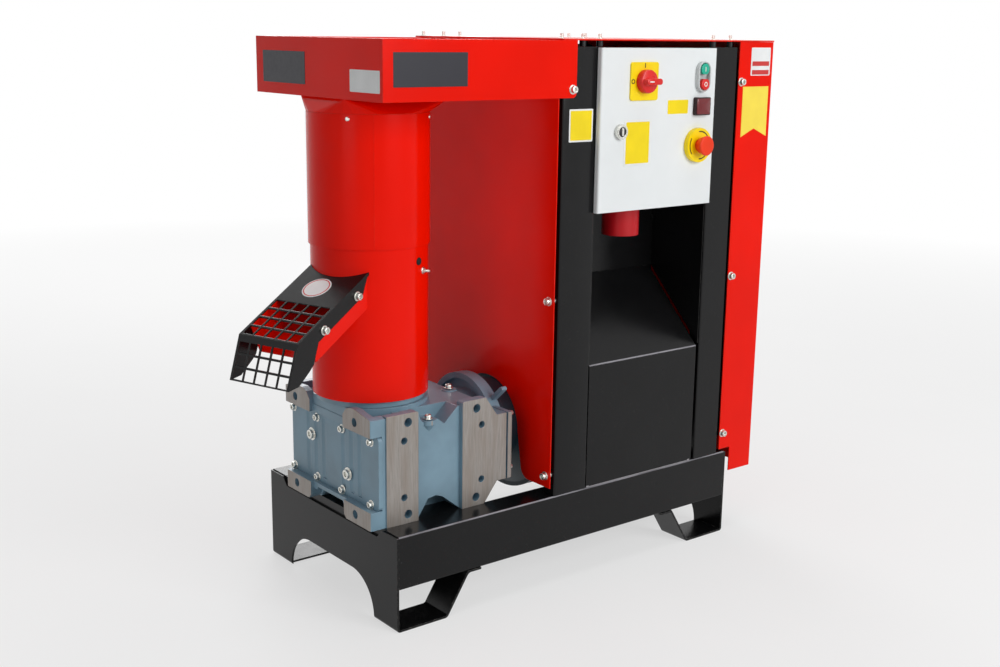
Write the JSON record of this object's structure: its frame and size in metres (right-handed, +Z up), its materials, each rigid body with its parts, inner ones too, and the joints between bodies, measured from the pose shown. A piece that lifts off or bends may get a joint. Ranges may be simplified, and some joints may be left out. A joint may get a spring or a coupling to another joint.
{
  "type": "pellet mill",
  "caption": "Flat-die pellet mill: folded frame on strap feet, right-angle gearbox, upright drum with guarded chute, square loading hopper, cabinet with control box.",
  "frame": {"origin": "centre of the footprint's bounding box, on the floor", "axes": "+X from the hopper end to the cabinet end, +Y from the operating side to the rear, +Z up"},
  "size_m": [1.1424, 0.5036, 1.043],
  "materials": {
    "black_powder_coat": "semi-gloss powder coat",
    "red_powder_coat": "glossy powder coat",
    "grey_cast_paint": "satin paint on casting, bare machined pads",
    "motor_paint": "satin paint",
    "machined_steel": "turned",
    "light_grey_enamel": "smooth enamel",
    "galvanised_steel": "zinc",
    "grey_plastic": "matt",
    "seal_rubber": "matt",
    "yellow_plastic": "gloss",
    "red_plastic": "gloss",
    "green_plastic": "gloss",
    "black_plastic": "gloss with a dark red lens",
    "zinc_steel": "plated"
  },
  "bodies": {
    "machine": {"base_gearbox_end_plate": "black_powder_coat", "base_cabinet_end_plate": "black_powder_coat", "base_front_beam": "black_powder_coat", "base_back_beam": "black_powder_coat", "gearbox_bed": "black_powder_coat", "gearbox_housing": "grey_cast_paint", "gearbox_end_cover": "grey_cast_paint", "gearbox_output_ring": "grey_cast_paint", "motor_body": "motor_paint", "motor_fan_cowl": "motor_paint", "motor_terminal_box": "motor_paint", "lower_drum": "red_powder_coat", "upper_drum": "red_powder_coat", "main_shaft": "machined_steel", "discharge_disc": "machined_steel", "die_plate": "machined_steel", "roller_axle": "machined_steel", "roller_left": "machined_steel", "roller_right": "machined_steel", "outlet_chute": "red_powder_coat", "chute_guard": "black_powder_coat", "hopper_tray": "red_powder_coat", "hopper_throat": "red_powder_coat", "left_cover": "red_powder_coat", "right_cover": "red_powder_coat", "top_cover": "red_powder_coat", "front_post_left": "black_powder_coat", "back_post_left": "black_powder_coat", "front_post_right": "black_powder_coat", "back_post_right": "black_powder_coat", "back_panel": "black_powder_coat", "lower_panel": "black_powder_coat", "recess_left_wall": "black_powder_coat", "recess_right_wall": "black_powder_coat", "recess_back_wall": "black_powder_coat", "control_box_body": "light_grey_enamel", "mounting_plate": "galvanised_steel", "contactor_set": "grey_plastic", "door_hinges": "zinc_steel", "power_inlet": "red_plastic"},
    "control_door": {"control_box_door": "light_grey_enamel", "door_seal": "seal_rubber", "main_switch_plate": "yellow_plastic", "start_stop_bezel": "grey_plastic", "indicator_lamp": "black_plastic", "emergency_stop_ring": "yellow_plastic"},
    "main_switch": {"main_switch_knob": "red_plastic"},
    "emergency_stop": {"emergency_stop_button": "red_plastic"},
    "start_push": {"start_button": "green_plastic"},
    "stop_push": {"stop_button": "red_plastic"},
    "lock": {"door_lock": "zinc_steel"}
  },
  "joints": [
    {"name": "control_door_hinge", "type": "hinge", "parent": "machine", "child": "control_door", "pos_m": [0.38923, -0.216, 0.8686], "axis": [0, 0, 1], "range_deg": [0, 110]},
    {"name": "main_switch_turn", "type": "hinge", "parent": "control_door", "child": "main_switch", "pos_m": [0.20023, -0.2241, 0.958], "axis": [0, -1, 0], "range_deg": [0, 90]},
    {"name": "emergency_stop_press", "type": "slide", "parent": "control_door", "child": "emergency_stop", "axis": [0, 1, 0], "range_m": [0, 0.004]},
    {"name": "start_press", "type": "slide", "parent": "control_door", "child": "start_push", "axis": [0, 1, 0], "range_m": [0, 0.0025], "stiffness_N_per_m": 400},
    {"name": "stop_press", "type": "slide", "parent": "control_door", "child": "stop_push", "axis": [0, 1, 0], "range_m": [0, 0.0025], "stiffness_N_per_m": 400},
    {"name": "door_lock_turn", "type": "hinge", "parent": "control_door", "child": "lock", "pos_m": [0.14423, -0.2208, 0.867], "axis": [0, -1, 0], "range_deg": [0, 90]}
  ]
}
